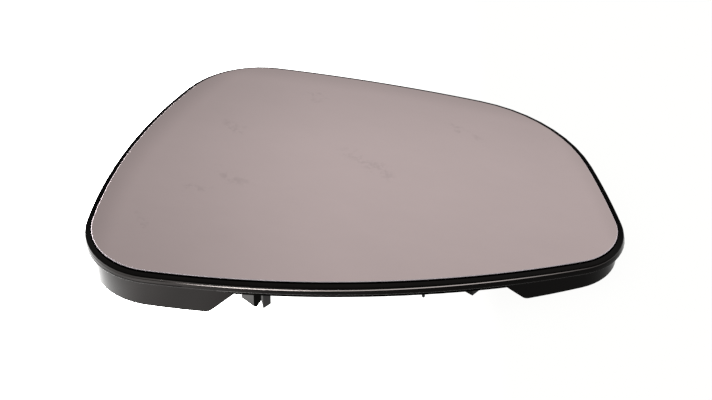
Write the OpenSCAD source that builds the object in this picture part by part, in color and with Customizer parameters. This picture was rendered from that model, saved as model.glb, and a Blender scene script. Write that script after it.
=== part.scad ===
// Car door mirror glass: a convex mirror pane bonded into a black moulded carrier.
// Millimetres, +Z out of the glass. The carrier lies on the lower edge of its skirt at Z = 0.
// The origin is the middle of the adjuster ring's mouth.
// The plan outline is a closed chain of four side arcs joined by four corner arcs.
// Every part that follows the outline is an offset of that one chain.

/* [Near side] */
// Direction of the near side's middle, degrees from +X
near_dir = -86.5; // [-90:0.5:-84]
// Distance of the near side from the origin
near_reach = 59.6; // [54:0.1:66]
// Radius of the near side
near_r = 263; // [220:1:330]
// Radius of the corner from the near side to the right side
near_corner_r = 18.5; // [14:0.5:28]

/* [Right side] */
// Direction of the right side's middle, degrees from +X
right_dir = 20; // [17:0.5:24]
// Distance of the right side from the origin
right_reach = 77; // [74:0.1:80]
// Radius of the right side
right_r = 345; // [280:5:500]
// Radius of the corner from the right side to the far side
right_corner_r = 51.5; // [38:0.5:56]

/* [Far side] */
// Direction of the far side's middle, degrees from +X
far_dir = 75.5; // [73:0.5:79]
// Distance of the far side from the origin
far_reach = 51.3; // [48:0.1:56]
// Radius of the far side
far_r = 1040; // [800:10:1400]
// Radius of the corner from the far side to the left side
far_corner_r = 27.5; // [20:0.5:34]

/* [Left side] */
// Direction of the left side's middle, degrees from +X
left_dir = 150; // [147:0.5:153]
// Distance of the left side from the origin
left_reach = 73.5; // [70:0.1:78]
// Radius of the left side
left_r = 182; // [160:1:220]
// Radius of the corner from the left side to the near side
left_corner_r = 24; // [16:0.5:32]

/* [Mirror glass] */
// Radius of the convex mirror surface
dome_r = 1400; // [1000:10:2200]
// How far the top of the dome lies to the left of the origin
dome_shift = 34; // [0:1:50]
// Height of the glass face above the resting plane, over the origin
face_h = 15.6; // [14.5:0.1:20]
// Thickness of the glass
glass_t = 2; // [1.6:0.1:2.4]
// Width of the ground bevel round the glass
bevel = 0.2; // [0.1:0.05:0.4]

/* [Adhesive pad] */
// Thickness of the foam adhesive pad
pad_t = 0.8; // [0.4:0.1:1.2]
// How far the pad stops short of the glass edge
pad_inset = 3; // [1.5:0.5:6]

/* [Carrier rim] */
// Gap between the glass edge and the rim
edge_gap = 0.15; // [0.1:0.05:0.3]
// Width of the rim outside the glass edge
rim_w = 2.15; // [1.8:0.05:3]
// Drop from the glass face to the inner edge of the rim
rim_inner_drop = 0.75; // [0.5:0.05:0.9]
// Drop from the glass face to the rim's outer shoulder
rim_outer_drop = 1; // [0.95:0.05:1.3]
// Drop from the glass face to the rim's lower outer edge
rim_depth = 3.6; // [3.2:0.05:4.2]
// Drop from the glass face to the rim's root on the skirt
rim_root_drop = 4.7; // [4.4:0.1:5.2]
// Radius of the rim's shoulder
shoulder_r = 0.5; // [0.3:0.05:0.6]
// Radius of the rim's lower edge
lower_edge_r = 0.2; // [0.1:0.05:0.4]
// Draft of the rim's outer wall, degrees, wider towards its lower edge
rim_draft = 8; // [2:0.5:12]
// Thickness of the floor under the pad
floor_t = 1.5; // [1.2:0.1:1.6]

/* [Carrier skirt] */
// How far the top of the skirt stands outside the glass edge
skirt_out = 0.2; // [-0.4:0.05:0.6]
// Thickness of the skirt
skirt_t = 1.8; // [1.4:0.1:2.4]
// Draft of the skirt, degrees
skirt_draft = 1; // [0.5:0.25:4]
// Left end of the opening in the near side of the skirt, at the resting plane
opening_left = -47; // [-52:0.5:-42]
// Right end of the opening in the near side of the skirt, at the resting plane
opening_right = 55.5; // [51:0.5:59]
// Slope of the opening's ends, degrees from the resting plane
opening_slope = 45; // [38:1:55]
// Radius of the skirt's corners at the opening
opening_corner_r = 3; // [1:0.5:5]
// Drop from the glass face to the top of the opening
opening_drop = 6.3; // [5.8:0.1:7.5]

/* [Adjuster ring] */
// Inner radius of the ring that the mirror adjuster plugs into
ring_r = 24; // [23:0.5:27]
// Wall of the ring
ring_t = 2; // [1.6:0.1:3]
// Depth of the flat seat inside the ring
ring_depth = 10.4; // [8:0.1:10.4]
// Number of slots in the ring
ring_slots = 4; // [2:1:6]
// Width of each slot
ring_slot_w = 3; // [2:0.5:5]
// Height of each slot above the ring's mouth
ring_slot_h = 7; // [4:0.5:8]

/* [Ribs] */
// Number of ribs from the ring to the skirt
rib_count = 8; // [6:1:14]
// Thickness of each rib
rib_t = 1.4; // [1:0.1:2]
// Depth of the ribs below the floor
rib_depth = 3.5; // [2:0.5:5]
// Distance of the ribs' ends from the glass edge across the opening
rib_back = 6; // [5:0.5:9]

/* [Guides] */
// Gap between the guides and the resting plane
guide_clear = 0.2; // [0.1:0.05:2]
// Turn of the fork's legs about Z, degrees
fork_turn = 46.5; // [42:0.5:50]
// Turn of the face between the fork's corners, degrees
fork_front_turn = 12; // [0:1:20]
// Place of the fork's left corner along X
fork_x = -32.5; // [-35:0.1:-28]
// Distance of the fork's left corner from the glass edge
fork_back = 4.1; // [3:0.1:6]
// Length of the fork's left face
fork_left = 6.1; // [4.5:0.1:7]
// Distance between the fork's two corners along X
fork_pitch = 3.1; // [2.6:0.1:3.6]
// How far the right corner stands in front of the left one
fork_step = 1.2; // [0.8:0.1:1.6]
// Length of the fork's right face
fork_right = 3.5; // [2.5:0.1:4]
// Width of the notch between the fork's legs
notch_w = 2.15; // [1:0.05:2.5]
// Height of the notch
notch_h = 2.9; // [1:0.1:4]
// Turn of the post about Z, degrees
post_turn = 49; // [42:0.5:52]
// Place of the post's front corner along X
post_x = 38.4; // [35:0.1:42]
// Distance of the post's front corner from the glass edge
post_back = 5.2; // [4:0.1:8]
// Side of the post
post_side = 3.7; // [3:0.1:5]
// Place of the front web along X
web_x = 22.3; // [18:0.1:23]
// Thickness of the front web
web_t = 1; // [0.8:0.1:1.6]
// Distance of the front web's tip from the glass edge
web_back = 2.8; // [2:0.1:6]
// Height of the front web's lower edge above the resting plane
web_clear = 3.6; // [3:0.1:8]

/* [Hidden] */

// Facets of the spherical surfaces
dome_fn = 256;
// Facets of the round walls
round_fn = 96;
// Longest step along the outline
arc_step = 6;
// Largest turn of the outline in one step
turn_step = 7;

dome_base = face_h - sqrt(dome_r * dome_r - dome_shift * dome_shift);
pad_drop = glass_t;
floor_drop = pad_drop + pad_t;
under_drop = floor_drop + floor_t;
// How far the pieces of the carrier reach into its floor
overlap = 0.7;
opening_steps = 6;
// Flat that breaks the rim's inner edge
lip_break = 0.2;
// Bearing at which the shoulder's arc takes over from the top of the rim
shoulder_from = 75;
shoulder_steps = 4;
lower_edge_steps = 3;
// How far the slope of the glass's ground bevel runs on past the face
bevel_run = 3;
// How far a cutting body stands out past what it cuts
past = 1;
// Longer than the part reaches in any direction from the origin
far_away = 2 * left_reach;
// Apex of the fork's notch, as a share of its width
notch_apex = 0.7;

// Offset of the middle of the skirt's wall at its top, where the floor and the ribs end
wall_mid = skirt_out - skirt_t / 2;

side_dir = [near_dir, right_dir, far_dir, left_dir];
side_reach = [near_reach, right_reach, far_reach, left_reach];
side_r = [near_r, right_r, far_r, left_r];
corner_r = [near_corner_r, right_corner_r, far_corner_r, left_corner_r];
sides = len(side_dir);

function unit(a) = [cos(a), sin(a)];
function bearing(v) = atan2(v.y, v.x);
function sweep(a, b) = (b - a + 720) % 360;

// Centre of each side's arc
side_c = [for (i = [0:sides - 1]) (side_reach[i] - side_r[i]) * unit(side_dir[i])];

// Where two circles meet, on the side that the direction points to
function meet(c1, r1, c2, r2, dir) =
    let (
        d = norm(c2 - c1),
        a = (r1 * r1 - r2 * r2 + d * d) / (2 * d),
        h = sqrt(r1 * r1 - a * a),
        u = (c2 - c1) / d,
        v = [-u.y, u.x],
        p = c1 + a * u,
        s = v * dir > 0 ? 1 : -1
    )
    p + s * h * v;

// Centre of the corner arc between side i and the next side
corner_c = [
    for (i = [0:sides - 1])
        let (j = (i + 1) % sides)
            meet(side_c[i], side_r[i] - corner_r[i], side_c[j], side_r[j] - corner_r[i],
                unit(side_dir[i]) + unit(side_dir[j]))
];

// Arcs in order round the outline: centre, radius, first bearing, turn
arcs = [
    for (i = [0:sides - 1])
        let (
            h = (i + sides - 1) % sides,
            j = (i + 1) % sides,
            a = bearing(corner_c[h] - side_c[i]),
            b = bearing(corner_c[i] - side_c[i]),
            c = bearing(corner_c[i] - side_c[j])
        )
            each [
                [side_c[i], side_r[i], a, sweep(a, b)],
                [corner_c[i], corner_r[i], b, sweep(b, c)]
            ]
];

// Stations along the outline: arc centre, radius, bearing
spine = [
    for (k = arcs)
        let (n = max(ceil(k[3] / turn_step), ceil(k[1] * k[3] * PI / 180 / arc_step)))
            for (s = [0:n - 1]) [k[0], k[1], k[2] + k[3] * s / n]
];
stations = len(spine);

// Point of the outline at station s, moved outwards by u
function edge_pt(s, u) = s[0] + (s[1] + u) * unit(s[2]);
function outline(u) = [for (s = spine) edge_pt(s, u)];

// Height of the glass face over a point in plan
function face_z(p) = dome_base + sqrt(dome_r * dome_r - pow(p.x + dome_shift, 2) - p.y * p.y);

module sphere_under(drop) {
    translate([-dome_shift, 0, dome_base])
        sphere(r = dome_r - drop, $fn = dome_fn);
}

// Layer between two drops below the glass face, cut to the outline moved by u
module dome_layer(top, bottom, u) {
    difference() {
        intersection() {
            linear_extrude(height = 2 * face_h)
                polygon(outline(u));
            sphere_under(top);
        }
        sphere_under(bottom);
    }
}

// Closed ring of quads between sections of equal length
function ring_faces(n, m) = [
    for (i = [0:n - 1], j = [0:m - 1])
        let (i2 = (i + 1) % n, j2 = (j + 1) % m)
            each [
                [i * m + j, i2 * m + j2, i * m + j2],
                [i * m + j, i2 * m + j, i2 * m + j2]
            ]
];

// Solid whose wall runs through rings of the outline, closed by flat caps
module edge_block(u_low, z_low, bevel_drop, u_high, z_high) {
    run = u_low - u_high;
    rings = [
        for (s = spine) [each edge_pt(s, u_low), z_low],
        for (s = spine) [each edge_pt(s, u_low), face_z(edge_pt(s, u_low)) - bevel_drop],
        for (s = spine) [each edge_pt(s, u_high), face_z(edge_pt(s, u_low)) - bevel_drop + run],
        for (s = spine) [each edge_pt(s, u_high), z_high]
    ];
    n = stations;
    polyhedron(
        points = rings,
        faces = [
            [for (i = [0:n - 1]) i],
            [for (i = [0:n - 1]) 4 * n - 1 - i],
            for (k = [0:2], i = [0:n - 1])
                let (i2 = (i + 1) % n)
                    each [
                        [k * n + i, (k + 1) * n + i, (k + 1) * n + i2],
                        [k * n + i, (k + 1) * n + i2, k * n + i2]
                    ]
        ]
    );
}

module mirror_glass() {
    color("lightsteelblue")
        difference() {
            intersection() {
                edge_block(0, 0, bevel, -bevel_run, 2 * face_h);
                sphere_under(0);
            }
            sphere_under(glass_t);
        }
}

module adhesive_pad() {
    color("dimgray")
        dome_layer(pad_drop, floor_drop, -pad_inset);
}

// Points of an arc about c from bearing a0 to a1, in n steps
function corner_arc(c, r, a0, a1, n) = [for (i = [0:n]) c + r * unit(a0 + (a1 - a0) * i / n)];

// Section of the rim above the skirt: [offset, height against the glass face]
rim_wall_low = [rim_w + (rim_depth - rim_outer_drop) * tan(rim_draft), -rim_depth];
rim_section = [
    [edge_gap, -rim_inner_drop - lip_break],
    [edge_gap + lip_break, -rim_inner_drop],
    each corner_arc([rim_w - shoulder_r, -rim_outer_drop - shoulder_r], shoulder_r,
        shoulder_from, 0, shoulder_steps),
    each corner_arc(rim_wall_low + [-lower_edge_r, lower_edge_r], lower_edge_r,
        0, -90, lower_edge_steps)
];

// Full section at a station: the rim, the skirt down to the resting plane, and back up into the floor
function carrier_section(s) =
    let (
        z0 = face_z(edge_pt(s, 0)),
        root_z = z0 - rim_root_drop,
        lean = root_z * tan(skirt_draft),
        in_z = z0 - floor_drop - overlap
    )
        [
            for (q = rim_section) [each edge_pt(s, q[0]), z0 + q[1]],
            [each edge_pt(s, skirt_out), root_z],
            [each edge_pt(s, skirt_out - lean), 0],
            [each edge_pt(s, skirt_out - lean - skirt_t), 0],
            [each edge_pt(s, skirt_out - skirt_t), in_z],
            [each edge_pt(s, edge_gap), in_z]
        ];

module rim_and_skirt() {
    sections = [for (s = spine) carrier_section(s)];
    polyhedron(
        points = [for (q = sections) each q],
        faces = ring_faces(stations, len(sections[0]))
    );
}

// Opening in the near side of the skirt, drawn as seen from the front
module skirt_opening() {
    reach = opening_corner_r * tan(opening_slope / 2);
    left_c = [opening_left - reach, opening_corner_r];
    right_c = [opening_right + reach, opening_corner_r];
    run = face_h / tan(opening_slope);
    intersection() {
        rotate([90, 0, 0])
            linear_extrude(height = far_away)
                polygon([
                    [left_c.x, -past],
                    each corner_arc(left_c, opening_corner_r, -90, opening_slope - 90, opening_steps),
                    [opening_left + run, face_h],
                    [opening_right - run, face_h],
                    each corner_arc(right_c, opening_corner_r, -90 - opening_slope, -90, opening_steps),
                    [right_c.x, -past]
                ]);
        sphere_under(opening_drop);
    }
}

// Ring that the adjuster plugs into, with a flat seat inside and slots that let its wall spring
module adjuster_ring() {
    intersection() {
        difference() {
            cylinder(r = ring_r + ring_t, h = face_h, $fn = round_fn);
            translate([0, 0, -past])
                cylinder(r = ring_r, h = ring_depth + past, $fn = round_fn);
            for (i = [0:ring_slots - 1])
                rotate(360 * (i + 0.5) / ring_slots)
                    translate([0, -ring_slot_w / 2, -past])
                        cube([ring_r + ring_t + past, ring_slot_w, ring_slot_h + past]);
        }
        sphere_under(floor_drop + overlap);
    }
}

function rib_angle(i) = 360 * i / rib_count;

// True where a rib would run out through the opening in the skirt
function rib_meets_opening(i) =
    let (a = rib_angle(i), x = -near_reach / tan(a))
        sin(a) < 0 && x > opening_left && x < opening_right;

module rib_plates(at_opening) {
    for (i = [0:rib_count - 1])
        if (rib_meets_opening(i) == at_opening)
            rotate(rib_angle(i))
                translate([ring_r + ring_t / 2, -rib_t / 2, 0])
                    cube([far_away, rib_t, face_h]);
}

module ribs() {
    intersection() {
        rib_plates(false);
        dome_layer(floor_drop + overlap, under_drop + rib_depth, wall_mid);
    }
    intersection() {
        rib_plates(true);
        dome_layer(floor_drop + overlap, under_drop + rib_depth, -rib_back);
    }
}

// Height of the near side of the outline at x, moved inwards by back
function near_y(x, back) =
    let (c = side_c[0], r = side_r[0] - back)
        c.y - sqrt(r * r - pow(x - c.x, 2));

// Upright prism from a plan outline into the floor
module upright(low) {
    intersection() {
        translate([0, 0, low])
            linear_extrude(height = face_h)
                children();
        sphere_under(floor_drop + overlap);
    }
}

// Plan outline with one corner at p and its two sides a and b
module slant(p, a, b) {
    polygon([p, p + a, p + a + b, p + b]);
}

// Fork of two square-cut legs seen by their corners, with a notch between them
module fork() {
    left_p = [fork_x, near_y(fork_x, fork_back)];
    right_p = left_p + [fork_pitch, -fork_step];
    left_run = fork_left * unit(180 - fork_turn);
    difference() {
        upright(guide_clear)
            union() {
                slant(left_p, fork_pitch * unit(-fork_front_turn), left_run);
                slant(right_p, fork_right * unit(fork_turn), left_run);
            }
        translate([right_p.x - notch_w, right_p.y - past, guide_clear])
            rotate([-90, 0, 0])
                linear_extrude(height = far_away)
                    polygon([
                        [0, past],
                        [0, 0],
                        [notch_apex * notch_w, -notch_h],
                        [notch_w, 0],
                        [notch_w, past]
                    ]);
    }
}

module post() {
    upright(guide_clear)
        translate([post_x, near_y(post_x, post_back)])
            rotate(post_turn)
                square(post_side);
}

// Thin web that runs from the ring to the near side and ends in a point
module front_web() {
    y0 = near_y(web_x, web_back);
    y1 = -sqrt(pow(ring_r + ring_t / 2, 2) - web_x * web_x);
    half = web_t / 2;
    upright(web_clear)
        polygon([
            [web_x, y0],
            [web_x + half, y0 + half],
            [web_x + half, y1],
            [web_x - half, y1],
            [web_x - half, y0 + half]
        ]);
}

module carrier() {
    color([0.09, 0.09, 0.1])
        union() {
            difference() {
                rim_and_skirt();
                skirt_opening();
            }
            dome_layer(floor_drop, under_drop, wall_mid);
            adjuster_ring();
            ribs();
            fork();
            post();
            front_web();
        }
}

mirror_glass();
adhesive_pad();
carrier();
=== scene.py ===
import math

import bpy
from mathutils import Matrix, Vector


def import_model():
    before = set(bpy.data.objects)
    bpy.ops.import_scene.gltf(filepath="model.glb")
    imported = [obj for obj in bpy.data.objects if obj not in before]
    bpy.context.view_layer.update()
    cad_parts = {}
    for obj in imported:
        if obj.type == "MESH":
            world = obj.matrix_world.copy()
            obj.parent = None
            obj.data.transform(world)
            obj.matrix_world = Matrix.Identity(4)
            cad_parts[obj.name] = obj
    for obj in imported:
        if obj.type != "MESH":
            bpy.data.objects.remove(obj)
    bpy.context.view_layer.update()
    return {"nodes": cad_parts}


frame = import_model()

# Lengths and places are in metres, angles in degrees. A fade is given by where it starts and ends, and by
# its value before and after that. A drop is the depth of a point below the dome of the glass face.

# Camera, fitted to the photograph's outline of the glass
ELEVATION = 37.63
DISTANCE = 0.8
TARGET = Vector((0.000535, -0.01875, 0.0156))
IMAGE_W = 712
FOCAL_PX = 2412.6
SENSOR_MM = 36.0
CLIP = (0.05, 50.0)

# Weak strip lamps on the near side: name, place, width, height and power in watts
LAMPS = [
    ("window", (-0.35, -1.5, 0.17), 0.5, 0.28, 0.2),
    ("room", (0.68, -1.4, 0.17), 1.16, 0.28, 0.35),
]

# White of the floor's glow and of the room
WHITE = (1.0, 1.0, 0.99, 1.0)

# Floor: its size and brightness, and the share of light that it scatters where it is seen, straight or in
# the glass, and where it only lights the object
FLOOR_SIZE = 6.0
FLOOR_WHITE = 0.96
FLOOR_SEEN = (0.12, 0.12, 0.12, 1.0)
FLOOR_UNSEEN = (0.4, 0.4, 0.4, 1.0)
# It is brighter towards the object's left end and a little less so past it: factors that fade along X
FLOOR_FADES = [
    (-0.094, -0.078, 0.66, 1.0),
    (-0.078, -0.058, 1.38, 1.0),
    (-0.055, -0.022, 2.6, 1.0),
    (-0.05, 0.05, 3.0, 1.0),
]

# Brightness of the room where it only gives light
ROOM_LIGHT = 0.35
# Where it is seen, the room is white low down, and its shaded upper part sets in between two heights.
# Heights and places in the room are measured on a direction of length 1.
ROOM_UPPER = (0.25, 0.42)
# Shade of the upper part: factors along X, factors up the room and one from the near side to the far one
ROOM_SIDES = [(-0.16, 0.03, 0.74, 1.0), (0.06, 0.26, 1.0, 0.95)]
ROOM_LEVELS = [(0.5, 0.59, 0.86, 1.0), (0.61, 0.72, 1.0, 0.92)]
ROOM_FRONT = (-0.1, 0.35, 0.45, 1.0)

# Colours are linear: black skins with their darkest and palest share, the tint of every plain skin's gloss,
# and what the coat reflects
BLACK = (0.0005, 0.00045, 0.0004)
BLACK_TONES = (0.8, 1.2)
SHEEN = (1.0, 0.9, 0.87, 1.0)
MIRROR_TINT = (0.455, 0.372, 0.369)
# Noise at which a clouded colour is darkest and palest
CLOUD_STOPS = (0.3, 0.7)
# Detail and roughness of the clouds of a plain skin
CLOUD_NOISE = (4.0, 0.6)
# Fine grain of a plain skin: grains per metre, detail and roughness of the noise, and depth
GRAIN_NOISE = (2600.0, 2.0, 0.6)
GRAIN_DEPTH = 0.0001

# Film on the glass: direction and size of its clouds, scale, detail and roughness of their noise, and their
# darkest and palest tone
FILM_TURN = -20.0
FILM_SIZE = (0.022, 0.012, 1.0)
FILM_NOISE = (1.0, 5.0, 0.62)
FILM_TONES = (0.985, 1.01)
# Roughness of the mirror where the film's noise is 0, and what it adds where it is 1
MIRROR_ROUGH = 0.015
FILM_ROUGH = 0.03
# Wiped streaks in the film: start, end and half width
STREAKS = [
    ((-0.046, -0.001), (-0.036, -0.012), 0.0035),
    ((-0.059, -0.009), (-0.049, -0.014), 0.0028),
    ((-0.005, 0.010), (0.014, -0.008), 0.0045),
    ((-0.017, 0.042), (-0.012, 0.039), 0.0025),
    ((0.033, 0.027), (0.044, 0.016), 0.003),
    ((-0.070, -0.026), (-0.066, -0.033), 0.0025),
    ((-0.045, 0.025), (-0.040, 0.018), 0.0025),
]
# Share of the light that a streak takes, and how it fades from its middle, at 0, to its edge, at 1
STREAK_DEPTH = 0.1
STREAK_FADE = (0.25, 1.0, 1.0, 0.0)
# Noise that bends the streaks: waves per metre, detail, mean and the swing from side to side
STREAK_WAVES = 110.0
WAVE_DETAIL = 2.0
WAVE_MEAN = (0.5, 0.5, 0.5)
STREAK_WARP = 0.012
# Noise that breaks the streaks up: grains per metre, detail and roughness, and where it lets them show
STREAK_NOISE = (330.0, 3.0, 0.62)
STREAK_SHOWS = (0.44, 0.62, 0.0, 1.0)
# Painted shade along the mirror's right, far and left sides, darker towards the edge: direction, reach and
# radius of the side's arc, width of the shaded band and share of the light left at the edge
EDGE_SHADE = [
    (20.0, 0.077, 0.345, 0.006, 0.92),
    (75.5, 0.0513, 1.04, 0.009, 0.87),
    (150.0, 0.0735, 0.182, 0.010, 0.84),
]

# Foam: cells per metre, height and strength of their relief, colour in a cell's middle and at its wall
FOAM_CELLS = 2500.0
FOAM_RELIEF = 0.0002
FOAM_STRENGTH = 0.6
FOAM_STOPS = [(0.1, (0.006, 0.006, 0.007)), (0.7, (0.03, 0.03, 0.032))]
FOAM_ROUGH = 0.9

# The dome of the glass face: its height over the origin, its radius and how far left its crown lies
FACE_H = 0.0156
DOME_R = 1.4
DOME_SHIFT = 0.034
# The rolled edge just below the rim's shoulder: the drops that it spans, and the slope that it adds
ROLL_DROPS = (0.00172, 0.002)
ROLL_SLOPE = 0.25
# It lies a little higher at the right: a fade along X of what is added to the drop
HIGHER = (-0.02, 0.06, 0.0, 0.0004)
# Refractive index of the wall, which sets its gloss, and what the rolled edge adds where its painted
# highlight is full
WALL_IOR = 1.14
ROLL_GAIN = 4.5
# Factors that fade the rolled edge's painted highlight in and out along X
ROLL_SHINE = [(-0.062, -0.03, 0.0, 0.95), (-0.02, 0.012, 1.0, 0.74), (0.025, 0.085, 1.0, 0.1)]
# A painted shadow line at the wall's left end, where the rim shades the skirt: its lower refractive index,
# which darkens the reflection, its drops and the X that it ends at
SHADE_LINE_IOR = 1.1
SHADE_LINE_DROPS = (0.00275, 0.00325)
SHADE_LINE_TO = -0.055
# Above the shadow line the wall's left end has a painted sheen, a higher refractive index that brightens
# its reflection; it fades out from the line's end to this X
LEFT_IOR = 1.175
LEFT_TO = -0.047
# One light fleck on the near shoulder: where it lies and how much it brightens
FLECK_X = (-0.06175, -0.06145)
FLECK_DROPS = (0.0012, 0.0018)
FLECK_LIGHT = 0.12
# Refractive index of the faces that point up, the Y between which it rises to a painted sheen, and its
# value at the near edge
LIP_IOR = 1.05
NEAR_LIP = (-0.02, -0.045)
NEAR_LIP_IOR = 1.19

# Materials of the pane and of the moulding, in the order in which each gets them
COAT, BEVEL, CUT, BACK = range(4)
TOP, WALL, EDGE, UNDER, SIDE = range(5)
# A face of the pane is known by how far its normal points up, from -1 to 1: more than the first value on
# the coat, less than the second on the cut edge and less than the third on the painted back
COAT_UP = 0.95
CUT_UP = 0.2
BACK_UP = -0.5
# The same on the moulding: more than the first value on its top, and within the second of 0 where upright
TOP_UP = 0.6
UPRIGHT = 0.2
# The rim's lower edge: its drops, the bounds of how far it points up, and the X that it starts at
EDGE_DROPS = (0.0033, 0.0038)
EDGE_UP = (-0.98, -0.05)
EDGE_FROM = -0.044
# Drops of the strip of skirt between the rim and the opening
STRIP_DROPS = (0.0050, 0.0062)
# The guides under the near edge: their bounds, and the most that the normal of a left face has along X and
# that of a near face along Y
GUIDES_X = (-0.04, 0.03)
GUIDES_Y = (-0.058, -0.04)
GUIDE_LEFT = -0.3
GUIDE_NEAR = -0.5

# A join between two faces is drawn soft below this angle, and corners this close are taken as one
SOFT_BELOW = 32.0
WELD = 0.00001


class Tree:
    """A short way to write a node tree: every call adds nodes and links their inputs."""

    def __init__(self, owner):
        owner.use_nodes = True
        self.tree = owner.node_tree
        self.tree.nodes.clear()

    def add(self, kind, inputs=None, **settings):
        node = self.tree.nodes.new(kind)
        for name, value in settings.items():
            setattr(node, name, value)
        for name, value in (inputs or {}).items():
            socket = node.inputs[name]
            if isinstance(value, bpy.types.NodeSocket):
                self.tree.links.new(value, socket)
            else:
                socket.default_value = value
        return node

    def where(self, kind="Object"):
        """Coordinates of the point that is shaded."""
        return self.add("ShaderNodeTexCoord").outputs[kind]

    def axes(self, vector):
        return self.add("ShaderNodeSeparateXYZ", {"Vector": vector}).outputs

    def math(self, operation, a, b, c=0.0):
        return self.add("ShaderNodeMath", {0: a, 1: b, 2: c}, operation=operation).outputs[0]

    def vector(self, operation, a, b):
        return self.add("ShaderNodeVectorMath", {0: a, 1: b}, operation=operation).outputs["Vector"]

    def scaled(self, vector, factor):
        node = self.add("ShaderNodeVectorMath", {0: vector, "Scale": factor}, operation="SCALE")
        return node.outputs["Vector"]

    def within(self, value, bounds):
        """1 where the value lies between the two bounds."""
        above = self.math("GREATER_THAN", value, bounds[0])
        below = self.math("LESS_THAN", value, bounds[1])
        return self.math("MULTIPLY", above, below)

    def fade(self, value, start, end, before, after):
        """Smooth change from one number to another between two places."""
        node = self.add("ShaderNodeMapRange", {
            "Value": value, "From Min": start, "From Max": end, "To Min": before, "To Max": after,
        }, interpolation_type="SMOOTHSTEP")
        return node.outputs["Result"]

    def fades(self, number, value, fades):
        """A number times several fades of the same value."""
        for fade in fades:
            number = self.math("MULTIPLY", number, self.fade(value, *fade))
        return number

    def ramp(self, factor, stops):
        """Colour between two stops."""
        node = self.add("ShaderNodeValToRGB", {"Fac": factor})
        for point, (place, colour) in zip(node.color_ramp.elements, stops):
            point.position = place
            point.color = (*colour, 1.0)
        return node.outputs["Color"]

    def clouds(self, factor, colour, tones):
        """A colour that a noise turns darker and paler."""
        stops = [(place, tuple(tone * c for c in colour)) for place, tone in zip(CLOUD_STOPS, tones)]
        return self.ramp(factor, stops)

    def noise(self, vector, scale, detail, rough):
        node = self.add("ShaderNodeTexNoise", {
            "Vector": vector, "Scale": scale, "Detail": detail, "Roughness": rough,
        })
        return node.outputs["Fac"]

    def turned(self, vector, place, angle, scale):
        """Coordinates measured from a place, along a turned and scaled frame."""
        node = self.add("ShaderNodeMapping", {
            "Vector": vector, "Location": place, "Rotation": (0.0, 0.0, angle), "Scale": scale,
        }, vector_type="TEXTURE")
        return node.outputs["Vector"]

    def seen(self):
        """1 for what the camera sees, straight, in a reflection or through glass."""
        path = self.add("ShaderNodeLightPath").outputs
        straight = self.math("MAXIMUM", path["Is Camera Ray"], path["Is Glossy Ray"])
        return self.math("MAXIMUM", straight, path["Is Transmission Ray"])

    def finish(self, shader):
        """Make a shader the surface of the material."""
        self.add("ShaderNodeOutputMaterial", {"Surface": shader.outputs[0]})


def bent(t, where):
    """Coordinates that wave to and fro."""
    waves = t.add("ShaderNodeTexNoise", {
        "Vector": where, "Scale": STREAK_WAVES, "Detail": WAVE_DETAIL,
    }).outputs["Color"]
    shift = t.vector("SUBTRACT", waves, WAVE_MEAN)
    return t.vector("ADD", where, t.scaled(shift, STREAK_WARP))


def streak(t, where, start, end, half):
    """1 along the middle of a wiped streak, 0 outside it."""
    run = (end[0] - start[0], end[1] - start[1])
    reach = math.hypot(*run) / 2 + half
    middle = ((start[0] + end[0]) / 2, (start[1] + end[1]) / 2, 0.0)
    local = t.turned(where, middle, math.atan2(run[1], run[0]), (reach, half, 1.0))
    away = t.add("ShaderNodeVectorMath", {0: local}, operation="LENGTH").outputs["Value"]
    return t.fade(away, *STREAK_FADE)


def streaks(t, where):
    """Share of the light that the streaks leave."""
    breakup = t.fade(t.noise(where, *STREAK_NOISE), *STREAK_SHOWS)
    waving = bent(t, where)
    marks = 0.0
    for start, end, half in STREAKS:
        marks = t.math("ADD", marks, streak(t, waving, start, end, half))
    marks = t.math("MULTIPLY", marks, breakup)
    return t.math("MULTIPLY_ADD", marks, -STREAK_DEPTH, 1.0)


def painted_edge_shade(t, where, light):
    """The light, less the painted shade along three of the sides."""
    flat = t.vector("MULTIPLY", where, (1.0, 1.0, 0.0))
    for direction, reach, radius, width, left in EDGE_SHADE:
        angle = math.radians(direction)
        middle = ((reach - radius) * math.cos(angle), (reach - radius) * math.sin(angle), 0.0)
        away = t.add("ShaderNodeVectorMath", {0: flat, 1: middle}, operation="DISTANCE").outputs["Value"]
        light = t.math("MULTIPLY", light, t.fade(away, radius - width, radius, 1.0, left))
    return light


def coated_mirror():
    """The reflecting coat seen through the glass, under a thin wiped film, with painted shade along three
    of its edges.
    """
    mat = bpy.data.materials.new("coated_mirror")
    t = Tree(mat)
    where = t.where()
    along = t.turned(where, (0.0, 0.0, 0.0), math.radians(FILM_TURN), FILM_SIZE)
    film = t.noise(along, *FILM_NOISE)
    # Painted shade: the coat darkens towards its right, far and left edges
    light = painted_edge_shade(t, where, streaks(t, where))
    t.finish(t.add("ShaderNodeBsdfPrincipled", {
        "Base Color": t.scaled(t.clouds(film, MIRROR_TINT, FILM_TONES), light),
        "Metallic": 1.0,
        "Roughness": t.math("MULTIPLY_ADD", film, FILM_ROUGH, MIRROR_ROUGH),
    }))
    return mat


def foam_pad():
    """Foam with open cells at its cut edge."""
    mat = bpy.data.materials.new("foam_pad")
    t = Tree(mat)
    cells = t.add("ShaderNodeTexVoronoi", {"Vector": t.where(), "Scale": FOAM_CELLS}).outputs["Distance"]
    relief = t.add("ShaderNodeBump", {"Height": cells, "Strength": FOAM_STRENGTH, "Distance": FOAM_RELIEF})
    t.finish(t.add("ShaderNodeBsdfPrincipled", {
        "Base Color": t.ramp(cells, FOAM_STOPS),
        "Roughness": FOAM_ROUGH,
        "Normal": relief.outputs[0],
    }))
    return mat


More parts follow.
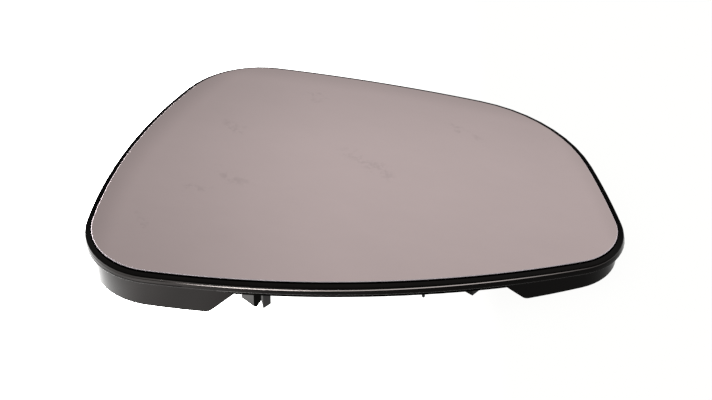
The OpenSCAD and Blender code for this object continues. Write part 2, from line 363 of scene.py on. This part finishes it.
def plain_skin(name, colour, tones, clouds, rough, ior, grain, metal=0.0, detail=None):
    """A moulded, ground or painted skin: clouded colour and roughness over a fine grain.

    tones are the darkest and the palest share of the colour, clouds is how many there are to the metre,
    rough is the range of the roughness and grain the strength of the relief. detail is a function that
    changes the refractive index, the colour and the relief by place.
    """
    mat = bpy.data.materials.new(name)
    t = Tree(mat)
    where = t.where()
    cloud = t.noise(where, clouds, *CLOUD_NOISE)
    fine = t.noise(where, *GRAIN_NOISE)
    base = t.clouds(cloud, colour, tones)
    bump = t.add("ShaderNodeBump", {"Height": fine, "Strength": grain, "Distance": GRAIN_DEPTH})
    relief = bump.outputs[0]
    if detail:
        ior, base, relief = detail(t, where, ior, base, relief)
    t.finish(t.add("ShaderNodeBsdfPrincipled", {
        "Base Color": base,
        "Metallic": metal,
        "Roughness": t.math("MULTIPLY_ADD", cloud, rough[1] - rough[0], rough[0]),
        "IOR": ior,
        "Specular Tint": SHEEN,
        "Normal": relief,
    }))
    return mat


def drop_below_face(t, axis):
    """How far a point lies below the dome of the glass."""
    x = t.math("ADD", axis["X"], DOME_SHIFT)
    away = t.math("ADD", t.math("MULTIPLY", x, x), t.math("MULTIPLY", axis["Y"], axis["Y"]))
    face = t.math("MULTIPLY_ADD", away, -0.5 / DOME_R, FACE_H + DOME_SHIFT ** 2 / (2 * DOME_R))
    return t.math("SUBTRACT", face, axis["Z"])


def rolled_edge(t, drop, x):
    """Height of the rolled edge below the shoulder, and how strong its painted highlight is."""
    level = t.math("ADD", drop, t.fade(x, *HIGHER))
    height = t.math("MINIMUM", t.math("MAXIMUM", level, ROLL_DROPS[0]), ROLL_DROPS[1])
    shine = t.fades(t.within(level, ROLL_DROPS), x, ROLL_SHINE)
    return t.math("MULTIPLY", height, ROLL_SLOPE), shine


def wall_detail(t, where, ior, base, relief):
    """The rolled edge with its painted highlight, the painted shadow line, the painted sheen of the left
    end and the fleck on the moulding's walls.
    """
    axis = t.axes(where)
    drop = drop_below_face(t, axis)
    height, shine = rolled_edge(t, drop, axis["X"])
    # Painted highlight: the rolled edge's refractive index is raised where it shines
    ior = t.math("MULTIPLY_ADD", shine, ROLL_GAIN, ior)
    # Painted shade: a dark line at the wall's left end where the rim shades the skirt
    shade_line = t.math("MULTIPLY", t.within(drop, SHADE_LINE_DROPS), t.math("LESS_THAN", axis["X"], SHADE_LINE_TO))
    ior = t.math("MULTIPLY_ADD", shade_line, SHADE_LINE_IOR - WALL_IOR, ior)
    # Painted sheen: above that line the wall's left end reflects more
    above = t.math("LESS_THAN", drop, SHADE_LINE_DROPS[0])
    left = t.math("MULTIPLY", above, t.fade(axis["X"], SHADE_LINE_TO, LEFT_TO, 1.0, 0.0))
    ior = t.math("MULTIPLY_ADD", left, LEFT_IOR - WALL_IOR, ior)
    fleck = t.math("MULTIPLY", t.within(axis["X"], FLECK_X), t.within(drop, FLECK_DROPS))
    near = t.math("LESS_THAN", axis["Y"], 0.0)
    pale = t.math("MULTIPLY", t.math("MULTIPLY", fleck, near), FLECK_LIGHT)
    rolled = t.add("ShaderNodeBump", {"Height": height, "Strength": 1.0, "Distance": 1.0, "Normal": relief})
    return ior, t.vector("ADD", base, pale), rolled.outputs[0]


def lip_detail(t, where, ior, base, relief):
    """A painted sheen: more gloss along the near edge, which brightens its reflection."""
    return t.fade(t.axes(where)["Y"], *NEAR_LIP, ior, NEAR_LIP_IOR), base, relief


def black_skin(name, clouds, rough, ior, grain, detail=None):
    """A plain skin in black."""
    return plain_skin(name, BLACK, BLACK_TONES, clouds, rough, ior, grain, detail=detail)


def ground_bevel():
    """The pane's ground bevel, which shows as a pale line."""
    return plain_skin(
        "ground_bevel", colour=(0.9, 0.81, 0.86), tones=(0.9, 1.0), clouds=900.0,
        rough=(0.45, 0.55), ior=1.5, grain=0.2, metal=0.7,
    )


def cut_glass_edge():
    return black_skin("cut_glass_edge", clouds=900.0, rough=(0.2, 0.3), ior=1.08, grain=0.1)


def painted_back():
    return plain_skin(
        "painted_back", colour=(0.1, 0.1, 0.11), tones=(0.9, 1.2), clouds=300.0,
        rough=(0.5, 0.6), ior=1.4, grain=0.3,
    )


def moulded_top():
    """The faces of the moulding that point up."""
    return black_skin(
        "moulded_top", clouds=120.0, rough=(0.14, 0.2), ior=LIP_IOR, grain=0.1, detail=lip_detail,
    )


def moulded_wall():
    """The moulding's walls and its back."""
    return black_skin(
        "moulded_black_plastic", clouds=40.0, rough=(0.1, 0.15),
        ior=WALL_IOR, grain=0.04, detail=wall_detail,
    )


def moulded_lower_edge():
    """The rounded lower edge of the rim: a glossier copy of the black plastic, partly its own reflection of
    the floor and partly a painted highlight.
    """
    return black_skin("moulded_lower_edge", clouds=200.0, rough=(0.15, 0.25), ior=1.36, grain=0.05)


def moulded_under_rim():
    """The strip under the rim and the corners of the guides: a darker copy of the black plastic, painted
    shade.
    """
    return black_skin("moulded_under_rim", clouds=120.0, rough=(0.5, 0.6), ior=1.06, grain=0.1)


# Painted highlight: a glossier copy of the black plastic for the guides' left sides, which face the light
def moulded_guide_side():
    return black_skin("moulded_guide_side", clouds=60.0, rough=(0.12, 0.18), ior=1.2, grain=0.05)


def floor():
    """A plane that glows where it is seen, and that only scatters light elsewhere."""
    bpy.ops.mesh.primitive_plane_add(size=FLOOR_SIZE, location=(0, 0, 0))
    plane = bpy.context.object
    plane.name = "floor"
    mat = bpy.data.materials.new("floor")
    t = Tree(mat)
    level = t.fades(FLOOR_WHITE, t.axes(t.where())["X"], FLOOR_FADES)
    matt = t.add("ShaderNodeBsdfDiffuse", {"Color": FLOOR_UNSEEN})
    glow = t.add("ShaderNodeEmission", {"Color": WHITE, "Strength": level})
    shade = t.add("ShaderNodeBsdfDiffuse", {"Color": FLOOR_SEEN})
    pale = t.add("ShaderNodeAddShader", {0: glow.outputs[0], 1: shade.outputs[0]})
    t.finish(t.add("ShaderNodeMixShader", {0: t.seen(), 1: matt.outputs[0], 2: pale.outputs[0]}))
    plane.data.materials.append(mat)


def world():
    """A white room whose upper part, which the glass mirrors, is darker at its sides and in front."""
    room = bpy.data.worlds.new("studio")
    bpy.context.scene.world = room
    t = Tree(room)
    axis = t.axes(t.where("Generated"))
    sides = t.fades(1.0, axis["X"], ROOM_SIDES)
    levels = t.fades(1.0, axis["Z"], ROOM_LEVELS)
    upper = t.math("MULTIPLY", t.math("MULTIPLY", sides, levels), t.fade(axis["Y"], *ROOM_FRONT))
    share = t.fade(axis["Z"], *ROOM_UPPER, 0.0, 1.0)
    sky = t.math("MULTIPLY_ADD", t.math("SUBTRACT", upper, 1.0), share, 1.0)
    strength = t.math("MULTIPLY_ADD", t.math("SUBTRACT", sky, ROOM_LIGHT), t.seen(), ROOM_LIGHT)
    light = t.add("ShaderNodeBackground", {"Color": WHITE, "Strength": strength})
    t.add("ShaderNodeOutputWorld", {"Surface": light.outputs[0]})


def strip_lamp(name, place, width, height, watts):
    """A soft lamp that faces the origin."""
    data = bpy.data.lights.new(name, "AREA")
    data.shape = "RECTANGLE"
    data.size = width
    data.size_y = height
    data.energy = watts
    obj = bpy.data.objects.new(name, data)
    obj.location = place
    obj.rotation_euler = (-Vector(place)).to_track_quat("-Z", "Y").to_euler()
    bpy.context.scene.collection.objects.link(obj)


def camera():
    """The photograph's camera, square to the object on the near side."""
    data = bpy.data.cameras.new("camera")
    data.sensor_fit = "HORIZONTAL"
    data.sensor_width = SENSOR_MM
    data.lens = FOCAL_PX / IMAGE_W * SENSOR_MM
    data.clip_start, data.clip_end = CLIP
    obj = bpy.data.objects.new("camera", data)
    tilt = math.radians(ELEVATION)
    obj.location = TARGET + DISTANCE * Vector((0.0, -math.cos(tilt), math.sin(tilt)))
    obj.rotation_euler = (math.radians(90.0 - ELEVATION), 0.0, 0.0)
    bpy.context.scene.collection.objects.link(obj)
    bpy.context.scene.camera = obj


def soft_joins(obj):
    """Smooth the joins between faces that meet at a shallow angle, and keep the sharp ones."""
    group = bpy.data.node_groups.new("soft_joins", "GeometryNodeTree")
    group.interface.new_socket("Geometry", in_out="INPUT", socket_type="NodeSocketGeometry")
    group.interface.new_socket("Geometry", in_out="OUTPUT", socket_type="NodeSocketGeometry")
    nodes, links = group.nodes, group.links
    source = nodes.new("NodeGroupInput")
    bare = nodes.new("GeometryNodeRemoveAttribute")
    bare.inputs["Name"].default_value = "custom_normal"
    weld = nodes.new("GeometryNodeMergeByDistance")
    weld.inputs["Distance"].default_value = WELD
    faces = nodes.new("GeometryNodeSetShadeSmooth")
    faces.domain = "FACE"
    edges = nodes.new("GeometryNodeSetShadeSmooth")
    edges.domain = "EDGE"
    angle = nodes.new("GeometryNodeInputMeshEdgeAngle")
    below = nodes.new("FunctionNodeCompare")
    below.operation = "LESS_THAN"
    below.inputs[1].default_value = math.radians(SOFT_BELOW)
    result = nodes.new("NodeGroupOutput")
    links.new(source.outputs[0], bare.inputs["Geometry"])
    links.new(bare.outputs[0], weld.inputs["Geometry"])
    links.new(weld.outputs[0], faces.inputs["Geometry"])
    links.new(faces.outputs[0], edges.inputs["Geometry"])
    links.new(angle.outputs["Unsigned Angle"], below.inputs[0])
    links.new(below.outputs[0], edges.inputs["Shade Smooth"])
    links.new(edges.outputs[0], result.inputs[0])
    obj.modifiers.new("soft_joins", "NODES").node_group = group


def dress(node, materials, pick):
    """Give a node its materials; pick returns the number of the one for a face."""
    obj = frame["nodes"][node]
    obj.data.materials.clear()
    for mat in materials:
        obj.data.materials.append(mat)
    for face in obj.data.polygons:
        face.material_index = pick(face)
    return obj


def glass_face(face):
    """The coated face, its ground bevel, the cut edge or the painted back."""
    up = face.normal.z
    if up < BACK_UP:
        return BACK
    if up < CUT_UP:
        return CUT
    return COAT if up > COAT_UP else BEVEL


def between(value, bounds):
    return bounds[0] < value < bounds[1]


def face_height(x, y):
    """Height of the dome of the glass."""
    return FACE_H + (DOME_SHIFT ** 2 - (x + DOME_SHIFT) ** 2 - y ** 2) / (2 * DOME_R)


def guide_face(normal):
    """A guide's left side gets a glossier copy, a painted highlight where it faces the light, and what
    turns from it to the near side a darker copy, painted shade.
    """
    if normal.x < GUIDE_LEFT:
        return SIDE
    if normal.x < 0.0 and normal.y < GUIDE_NEAR:
        return UNDER
    return WALL


def moulding_face(face):
    """The top, the walls and back, the rim's lower edge, the strip under the rim or a guide's side."""
    place = face.center
    up = face.normal.z
    drop = face_height(place.x, place.y) - place.z
    # Partly painted highlight: right of EDGE_FROM the rim's lower edge gets the glossier copy
    if place.x > EDGE_FROM and between(drop, EDGE_DROPS) and between(up, EDGE_UP):
        return EDGE
    # Painted shade: the strip under the rim gets the darker copy
    if abs(up) < UPRIGHT and between(drop, STRIP_DROPS):
        return UNDER
    if abs(up) < UPRIGHT and between(place.x, GUIDES_X) and between(place.y, GUIDES_Y):
        return guide_face(face.normal)
    return TOP if up > TOP_UP else WALL


camera()
world()
floor()
for lamp in LAMPS:
    strip_lamp(*lamp)

pane = [coated_mirror(), ground_bevel(), cut_glass_edge(), painted_back()]
moulding = [moulded_top(), moulded_wall(), moulded_lower_edge(), moulded_under_rim(), moulded_guide_side()]
dress("mirror_glass", pane, glass_face)
dress("adhesive_pad", [foam_pad()], lambda face: 0)
soft_joins(dress("carrier", moulding, moulding_face))

bpy.context.scene.view_settings.view_transform = "Standard"
